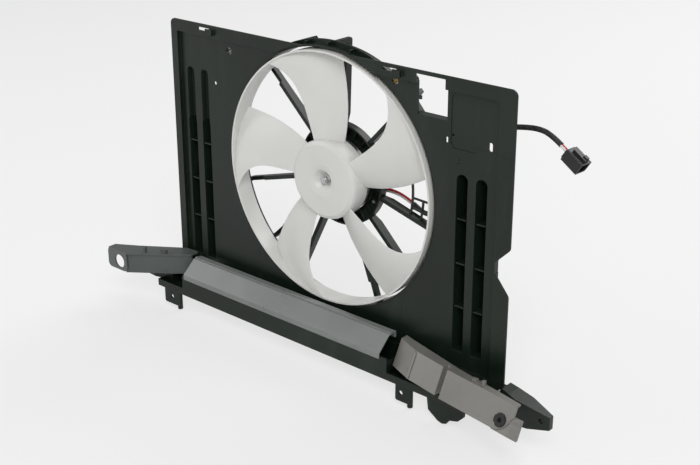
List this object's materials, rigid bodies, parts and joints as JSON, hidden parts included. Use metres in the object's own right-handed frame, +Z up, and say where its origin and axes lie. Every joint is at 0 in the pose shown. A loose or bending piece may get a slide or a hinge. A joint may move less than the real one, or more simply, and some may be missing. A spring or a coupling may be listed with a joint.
{
  "type": "radiator cooling fan",
  "caption": "Electric radiator fan: ducted bladed wheel on a motor held by spokes in a ribbed shroud, with lower trough, grey brackets and a two-wire lead.",
  "frame": {"origin": "midway between the two lower arm bolt holes, on the face that they bolt against", "axes": "+X to the right seen from the fan side, +Y from the fan side to the motor side, parallel to the fan's axis, +Z up"},
  "size_m": [0.796, 0.1531, 0.475],
  "materials": {
    "shroud_plastic": "satin black moulding",
    "support_grey": "satin grey paint",
    "bracket_warm_grey": "satin warm grey paint",
    "bracket_green_grey": "satin greenish grey paint",
    "screw_steel": "zinc plated",
    "plug_rubber": "dull black",
    "zinc": "bright",
    "brass": "bright",
    "label_white": "printed film, left blank",
    "motor_black": "gloss black",
    "zinc_plate": "bright zinc plate",
    "ferrite": "dull",
    "card_brown": "moulded resin",
    "carbon": "dull",
    "bronze": "sintered",
    "shaft_steel": "ground",
    "core_steel": "laminated",
    "copper": "varnished",
    "fan_white": "translucent natural white",
    "grommet_grey": "dull",
    "wire_red": "satin",
    "wire_white": "satin",
    "loom_black": "taped",
    "connector_black": "satin",
    "seal_orange": "dull"
  },
  "bodies": {
    "shroud_and_motor": {"panel_left": "shroud_plastic", "panel_top": "shroud_plastic", "panel_bottom": "shroud_plastic", "panel_right_high": "shroud_plastic", "panel_right_low": "shroud_plastic", "shroud_ring": "shroud_plastic", "spokes": "shroud_plastic", "wire_guard": "shroud_plastic", "motor_ring": "shroud_plastic", "lower_trough": "shroud_plastic", "left_arm": "shroud_plastic", "right_arm": "shroud_plastic", "round_foot": "shroud_plastic", "left_foot": "shroud_plastic", "right_foot": "shroud_plastic", "support_cover": "support_grey", "right_bracket": "bracket_warm_grey", "left_bracket": "bracket_green_grey", "bracket_screws": "screw_steel", "bracket_plug": "plug_rubber", "zinc_insert": "zinc", "brass_insert": "brass", "blank_label": "label_white", "ring_tag": "label_white", "motor_can": "motor_black", "motor_end_cap": "zinc_plate", "motor_magnets": "ferrite", "brush_card": "card_brown", "motor_brushes": "carbon", "brush_springs": "screw_steel", "front_bearing": "bronze", "rear_bearing": "bronze", "motor_screws": "screw_steel", "lead_grommet": "grommet_grey", "red_lead": "wire_red", "white_lead": "wire_white", "harness_loom": "loom_black", "panel_clip": "shroud_plastic", "spoke_clip": "shroud_plastic", "harness_tail": "loom_black", "tail_red_wire": "wire_red", "tail_white_wire": "wire_white", "connector_housing": "connector_black", "connector_seal": "seal_orange", "connector_terminals": "brass"},
    "fan_rotor": {"fan_hub": "fan_white", "fan_blades": "fan_white", "fan_ring": "fan_white", "hub_insert": "shaft_steel", "fan_washer": "screw_steel", "fan_nut": "screw_steel", "motor_shaft": "shaft_steel", "armature_core": "core_steel", "armature_windings": "copper", "commutator": "copper"}
  },
  "joints": [
    {"name": "fan_spin", "type": "hinge", "parent": "shroud_and_motor", "child": "fan_rotor", "pos_m": [0, 0.027, 0.221], "axis": [0, 1, 0], "continuous": true}
  ]
}
